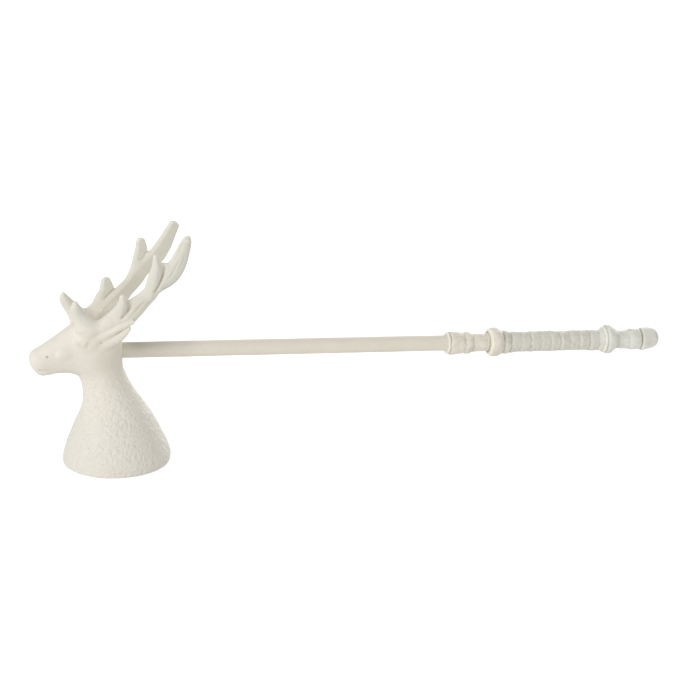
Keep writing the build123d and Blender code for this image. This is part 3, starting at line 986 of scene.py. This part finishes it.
def paint(name, cream, shade, warm, shade_and_patch_tint, peel, grain, mottle, changes=(), peel_fades=False):
    """Matt cream paint: the cream, with warm in slow patches, small flecks of shade as strong as
    mottle, shade as a wash and as painted shade in the hollows, and a lighter cream on the crests
    as rubbed wear and as a painted highlight, which it reads from the piece's bend, and the shade
    and patch tint where the piece has painted shade or a darker patch. peel and grain are the
    strengths of a soft orange peel and a fine grain as bumps, and the peel may fade above the
    bell. Each change gives an axis, two places on it in metres and the colour that the coat fades
    to between them."""
    made, tree, shader = fresh(name)
    place = add(tree, "ShaderNodeTexCoord").outputs["Object"]
    axes = add(tree, "ShaderNodeSeparateXYZ", {0: place}).outputs
    colour = cream
    patches = spread(tree, noise(tree, place, 70, 3.0, 0.6), 0.38, 0.64, 0.0, 0.8)
    colour = blend_colours(tree, patches, colour, warm)
    for axis, start, end, later in changes:
        colour = blend_colours(tree, spread(tree, axes[axis], start, end), colour, later)
    # The shade and patch tint where the piece has painted shade or a darker patch
    shade_and_patch = add(tree, "ShaderNodeAttribute", attribute_name="shade_and_patch").outputs["Fac"]
    colour = blend_colours(tree, shade_and_patch, colour, shade_and_patch_tint)
    flecks = spread(tree, noise(tree, place, 430, 2.5, 0.6), 0.46, 0.66, 0.0, mottle)
    colour = blend_colours(tree, flecks, colour, shade)
    bend = add(tree, "ShaderNodeAttribute", attribute_name="bend").outputs["Fac"]
    # Wash and painted shade in the hollows, where the piece bends inwards
    cloud = spread(tree, noise(tree, place, 240, 3.0, 0.65), 0.3, 0.7, 0.45, 1.0)
    hollow_wash_and_shade = product(tree, spread(tree, bend, -0.12, -1.3, 0.0, 0.85), cloud)
    # A lighter cream on the crests, as rubbed wear and as a painted highlight
    crest_wear_and_highlight = spread(tree, bend, 0.35, 1.8, 0.0, 0.6)
    colour = blend_colours(tree, hollow_wash_and_shade, colour, shade)
    rubbed_and_lit_cream = tuple(min(1.1 * part, 0.88) for part in cream)
    colour = blend_colours(tree, crest_wear_and_highlight, colour, rubbed_and_lit_cream)
    tree.links.new(colour, shader.inputs["Base Color"])
    rough = spread(tree, noise(tree, place, 260, 2.0), 0.3, 0.7, 0.5, 0.62)
    tree.links.new(rough, shader.inputs["Roughness"])
    if peel_fades:
        peel = product(tree, spread(tree, axes["Z"], 0.050, 0.034, 0.12, 1.0), peel)
    cells = {"Vector": place, "Scale": 620, "Smoothness": 0.6}
    pebbles = add(tree, "ShaderNodeTexVoronoi", cells, feature="SMOOTH_F1").outputs["Distance"]
    waves = noise(tree, place, 780, 1.5, 0.4)
    height = add(tree, "ShaderNodeMath", {0: waves, 1: pebbles}, operation="SUBTRACT").outputs[0]
    coarse = bump(tree, peel, 0.0004, height)
    fine = bump(tree, grain, 0.00006, noise(tree, place, 3200, 3.0, 0.6), coarse)
    tree.links.new(fine, shader.inputs["Normal"])
    return made


def steel():
    """Plain steel: clouds of a slightly paler and rougher surface, and a very fine grain."""
    made, tree, shader = fresh("plain_steel")
    place = add(tree, "ShaderNodeTexCoord").outputs["Object"]
    shader.inputs["Metallic"].default_value = 1.0
    cloud = noise(tree, place, 500, 3.0, 0.6)
    colour = blend_colours(tree, cloud, (0.55, 0.55, 0.54), (0.66, 0.66, 0.66))
    tree.links.new(colour, shader.inputs["Base Color"])
    tree.links.new(spread(tree, cloud, 0.3, 0.7, 0.28, 0.42), shader.inputs["Roughness"])
    grain = bump(tree, 0.3, 0.00002, noise(tree, place, 4000))
    tree.links.new(grain, shader.inputs["Normal"])
    return made


cast_coat = paint(
    "cast_coat",
    cream=(0.81, 0.775, 0.685),
    shade=(0.47, 0.42, 0.31),
    warm=(0.79, 0.745, 0.65),
    shade_and_patch_tint=(0.66, 0.61, 0.50),
    peel=1.0,
    grain=0.35,
    mottle=0.03,
    changes=(("Z", 0.067, 0.078, (0.73, 0.705, 0.62)), ("Z", 0.040, 0.015, (0.77, 0.735, 0.655))),
    peel_fades=True,
)
rod_coat = paint(
    "rod_coat",
    cream=(0.80, 0.75, 0.645),
    shade=(0.50, 0.46, 0.37),
    warm=(0.78, 0.725, 0.615),
    shade_and_patch_tint=(0.50, 0.48, 0.39),
    peel=0.12,
    grain=0.3,
    mottle=0.05,
)
handle_coat = paint(
    "handle_coat",
    cream=(0.84, 0.79, 0.685),
    shade=(0.33, 0.29, 0.21),
    warm=(0.80, 0.75, 0.64),
    shade_and_patch_tint=(0.56, 0.54, 0.45),
    peel=0.4,
    grain=0.35,
    mottle=0.16,
    changes=(("X", 0.184, 0.192, (0.72, 0.70, 0.62)), ("X", 0.231, 0.238, (0.79, 0.785, 0.715))),
)
steel_finish = steel()

# Castings

# Each is looked for between two corners of a box
cell_head, cell_antler = ((0.46, 0.34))
castings = [
    cast("stag_casting", stag_gap, (-40.5, -26.5, -1.5), (26.5, 26.5, 74.5), cell_head, "stag_head")
]
for node, side in (("left_antler", -1), ("right_antler", 1)):
    low_y, high_y = sorted((side * 1.0, side * 16.8))
    castings.append(
        cast(
            node + "_casting",
            lambda x, y, z: antler_casting_gap(x, y, z, side),
            (-23.5, low_y, 63.9),
            (36.5, high_y, 109.8),
            cell_antler,
            node,
        )
    )
for made in castings:
    made.data.materials.append(cast_coat)

# Rod and handle

# Distances along the rod's axis are counted from X = 0, angles from the side that faces -Y and
# upwards. The bar, its shoulders at both ends, the thread in front of it and the tang behind it,
# with the bore for the tang
bar_radius, shoulder_radius, thread_radius, tang_radius, tang_bore = 3.6, 3.4, 2.5, 2.2, 2.25
thread_tip, shoulder_start, tang_start, tang_end = -12.0, -1.0, 167.0, 265.5
# Chamfers of the thread's tip, the bar's shoulders and the tang's end: how far along and in
tip_along, tip_in, shoulder_along, tang_chamfer, bar_points = 0.4, 0.3, 0.2, 0.3, 340
# The ferrule's socket for the bar and the cap's rim: radius. Where the handle's pieces start and
# meet, and the cap's hollow and face
ferrule_socket, cap_rim = 3.65, 4.45
ferrule_start, ferrule_end, front_end, grip_end, rear_end = 159.7, 173.0, 190.0, 238.6, 258.9
cap_start, cap_floor, tang_hole_end, cap_tip = 258.4, 259.5, 265.95, 267.93
# Pits, here and in the handle: distance along the rod, angle, size and depth
rod_pits = ((80.0, 0.35, 0.35, 0.05), (83.5, 0.5, 0.3, 0.04))


def rod_shape(along, angle):
    """The bar is a little fuller underneath and waves slowly by two sines, both growing over its
    first 12 mm, and it has two small pits."""
    grown = np.clip(along / 12, 0, 1)
    fuller = 0.1 * np.clip(-np.sin(angle), 0, 1) * grown
    waves = 0.018 * np.sin(along * 0.19 + 1.0) + 0.012 * np.sin(along * 0.47 + 2 * angle)
    return fuller + grown * waves + pits(along, angle, rod_pits)


bar_places = np.linspace(shoulder_start + shoulder_along, tang_start - shoulder_along, bar_points)
rod_piece = turned(
    "rod_bar",
    [(thread_tip, 0, 0), (thread_tip, thread_radius - tip_in, 0)]
    + [(thread_tip + tip_along, thread_radius, 0), (shoulder_start, thread_radius, 0)]
    + [(shoulder_start, shoulder_radius, 0)]
    + [(along, bar_radius, 1) for along in bar_places]
    + [(tang_start, shoulder_radius, 0), (tang_start, tang_radius, 0)]
    + [(tang_end - tang_chamfer, tang_radius, 0), (tang_end, tang_radius - tang_chamfer, 0)]
    + [(tang_end, 0, 0)],
    "rod",
    rod_shape,
)
# Every outline below is given as distance along the rod and radius
ferrule_rows = (
    (ferrule_start, 4.1), (160.1, 4.6), (160.6, 4.7), (161.0, 4.75), (161.5, 5.15), (162.2, 5.3),
    (164.5, 5.25), (166.8, 5.1), (168.3, 4.9), (169.2, 5.2), (170.4, 5.25), (171.5, 4.9),
    (172.3, 4.35), (ferrule_end, 4.1),
)
ferrule_piece = turned(
    "ferrule_turning",
    [(ferrule_start, ferrule_socket, 0)]
    + outer(ferrule_rows)
    + [(ferrule_end, tang_bore, 0), (tang_start, tang_bore, 0), (tang_start, ferrule_socket, 0)],
    "ferrule",
    handmade(0.035, ((168.6, 0.1, 0.35, 0.25), (167.8, -0.25, 0.3, 0.14), (169.4, 0.5, 0.25, 0.1))),
)
front_rows = (
    (ferrule_end, 4.15), (175.0, 4.08), (178.0, 4.12), (179.8, 4.2), (180.4, 4.55), (180.9, 5.6),
    (181.4, 6.3), (182.1, 6.65), (183.0, 6.9), (184.2, 6.92), (185.2, 6.7), (186.2, 6.15),
    (187.0, 5.55), (187.6, 5.15), (188.2, 5.3), (189.0, 5.4), (front_end, 5.25),
)
front_piece = turned(
    "front_collar_turning",
    outer(front_rows) + [(front_end, tang_bore, 0), (ferrule_end, tang_bore, 0)],
    "front_collar",
    handmade(0.045, ((180.7, 0.05, 0.4, 0.35),)),
)
band_starts = np.array([
    186.6, 191.1, 195.8, 200.7, 205.7, 210.8, 215.9, 221.0, 225.8, 231.2, 235.9, 240.6,
])
band_climb, band_height, band_recess = 1.7, 0.5, 0.33


def banding(along, angle):
    """Shallow steps round the grip: each climbs gently from its recess, over the first 1.7 mm, and
    falls slowly and evenly to the next, the steps differing in height by a sine of their number.
    They fade out along the top and the bottom, where the mould parts."""
    number = np.searchsorted(band_starts, along, side="right") - 1
    number = np.clip(number, 0, len(band_starts) - 2)
    since = along - band_starts[number]
    width = band_starts[number + 1] - band_starts[number]
    climb = np.clip(since / band_climb, 0, 1)
    fallen = np.clip((since - band_climb) / (width - band_climb), 0, 1)
    height = eased(climb) * (1 - 0.95 * fallen) * (0.75 + 0.25 * np.sin(number * 2.3 + 1.0))
    seen = np.clip((np.abs(np.cos(angle)) - 0.12) / 0.4, 0, 1)
    return (band_height * height - band_recess) * eased(seen)


def grip_shape(along, angle):
    """The banding, its edges wandering by 0.3 mm round the grip, with slow waves and the uneven
    top and underside."""
    wander = 0.3 * np.sin(2.3 * angle + 0.11 * along)
    return banding(along + wander, angle) + lumpy(along, angle, 0.045) + uneven_round(along, angle)


grip_rows = (
    (front_end, 5.25), (190.6, 5.15), (191.4, 4.95), (193.0, 4.9), (214.0, 4.86), (234.0, 4.88),
    (237.0, 5.0), (grip_end, 5.3),
)
grip_piece = turned(
    "grip_turning",
    outer(grip_rows, 0.11) + [(grip_end, tang_bore, 0), (front_end, tang_bore, 0)],
    "grip",
    grip_shape,
)
rear_rows = (
    (grip_end, 5.75), (238.9, 6.1), (239.3, 6.3), (239.8, 6.35), (240.3, 6.65), (241.0, 6.95),
    (241.9, 6.95), (242.8, 6.7), (243.6, 6.25), (244.4, 5.6), (245.2, 4.85), (245.9, 4.4),
    (248.0, 4.22), (250.6, 4.27), (251.6, 4.4), (252.5, 4.75), (253.5, 5.05), (254.6, 5.08),
    (256.2, 4.98), (257.2, 4.9), (257.7, 4.6), (258.1, 4.35), (rear_end, 4.3),
)
rear_piece = turned(
    "rear_collar_turning",
    outer(rear_rows) + [(rear_end, tang_bore, 0), (grip_end, tang_bore, 0)],
    "rear_collar",
    handmade(0.05, ((238.3, -0.35, 0.4, 0.25),)),
)
cap_rows = (
    (cap_start, 4.85), (258.8, 5.15), (259.8, 5.28), (260.8, 5.28), (262.5, 5.25), (264.0, 4.95),
    (265.3, 4.45), (266.3, 3.8), (267.0, 3.05), (267.55, 2.0), (267.85, 1.0),
)
# Where the cap's unevenness ends, and how much its sides fall in and between which distances
cap_worn_end, cap_fall, fall_start, fall_end = 267.7, 0.2, 261, 267.8


def cap_shape(along, angle):
    """Slow waves and the uneven top and underside, fading out over the last 1.4 mm, less a fall of
    the two sides towards the tip."""
    worn = lumpy(along, angle, 0.08) + uneven_round(along, angle)
    worn = worn * np.clip((cap_worn_end - along) / 1.4, 0, 1)
    sides = 1 - np.abs(np.sin(angle))
    starts, ends = np.clip((along - fall_start) / 4, 0, 1), np.clip((fall_end - along) / 2, 0, 1)
    return worn - cap_fall * starts * ends * sides


cap_piece = turned(
    "end_cap_turning",
    [(tang_hole_end, 0, 0), (tang_hole_end, tang_bore, 0), (cap_floor, tang_bore, 0)]
    + [(cap_floor, cap_rim, 0), (cap_start, cap_rim, 0)]
    + outer(cap_rows)
    + [(cap_tip, 0, 0)],
    "end_cap",
    cap_shape,
)
rod_piece.data.materials.append(rod_coat)
for made in (ferrule_piece, front_piece, grip_piece, rear_piece, cap_piece):
    made.data.materials.append(handle_coat)

# The studs and the washer keep their own shapes
for node in ("left_antler_stud", "right_antler_stud", "end_washer"):
    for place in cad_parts[node].material_slots:
        place.material = steel_finish

# Floor and light

floor_half = 6
floor_corners = [(x * floor_half, y * floor_half, 0) for x, y in ((-1, -1), (1, -1), (1, 1), (-1, 1))]
floor_mesh = bpy.data.meshes.new("floor")
floor_mesh.from_pydata(floor_corners, [], [(0, 1, 2, 3)])
floor = bpy.data.objects.new("floor", floor_mesh)
bpy.context.scene.collection.objects.link(floor)
floor_coat = bpy.data.materials.new("floor_coat")
floor_coat.use_nodes = True
tree = floor_coat.node_tree
tree.nodes.clear()
# The camera sees the floor lifted nearly to white, with the object's shadow; nothing else does
floor_lift = 0.45
white = (1, 1, 1, 1)
matt = add(tree, "ShaderNodeBsdfDiffuse", {"Color": (0.9, 0.9, 0.9, 1)})
seen = add(tree, "ShaderNodeLightPath").outputs["Is Camera Ray"]
lift = add(tree, "ShaderNodeEmission", {"Color": white, "Strength": product(tree, seen, floor_lift)})
both = add(tree, "ShaderNodeAddShader", {0: matt.outputs[0], 1: lift.outputs[0]})
tree.links.new(both.outputs[0], add(tree, "ShaderNodeOutputMaterial").inputs["Surface"])
floor_mesh.materials.append(floor_coat)

world = bpy.data.worlds.new("studio")
bpy.context.scene.world = world
world.use_nodes = True
tree = world.node_tree
tree.nodes.clear()
# The room is brighter on the left and low down, and the camera sees white paper in its place
towards = add(tree, "ShaderNodeTexCoord").outputs["Generated"]
facing = add(tree, "ShaderNodeSeparateXYZ", {0: towards}).outputs
across = spread(tree, facing["X"], -0.9, 0.9, 1.1, 0.76)
upward = spread(tree, facing["Z"], -0.2, 0.95, 0.88, 0.68)
seen = add(tree, "ShaderNodeLightPath").outputs["Is Camera Ray"]
room_light = product(tree, upward, across)
room = add(tree, "ShaderNodeBackground", {"Color": white, "Strength": room_light})
paper = add(tree, "ShaderNodeBackground", {"Color": white, "Strength": 1.0})
choice = add(tree, "ShaderNodeMixShader", {0: seen, 1: room.outputs[0], 2: paper.outputs[0]})
tree.links.new(choice.outputs[0], add(tree, "ShaderNodeOutputWorld").inputs["Surface"])


def soft_light(name, place, aim, size, power):
    """A square lamp of a size in metres, placed and aimed."""
    data = bpy.data.lights.new(name, "AREA")
    data.shape = "SQUARE"
    data.size = size
    data.energy = power
    made = bpy.data.objects.new(name, data)
    bpy.context.scene.collection.objects.link(made)
    made.location = place
    made.rotation_euler = (Vector(aim) - Vector(place)).to_track_quat("-Z", "Y").to_euler()


# Place, the point it is aimed at, size and power
soft_light("left_above", (-1.3, -0.75, 0.75), (0.08, 0, 0.04), size=0.7, power=7.9)
soft_light("front", (0.1, -1.6, 0.4), (0.12, 0, 0.04), size=1.2, power=1.5)
soft_light("right_back", (1.0, 1.0, 0.35), (0.05, 0, 0.04), size=0.5, power=8.0)
bpy.context.scene.view_settings.view_transform = "Standard"
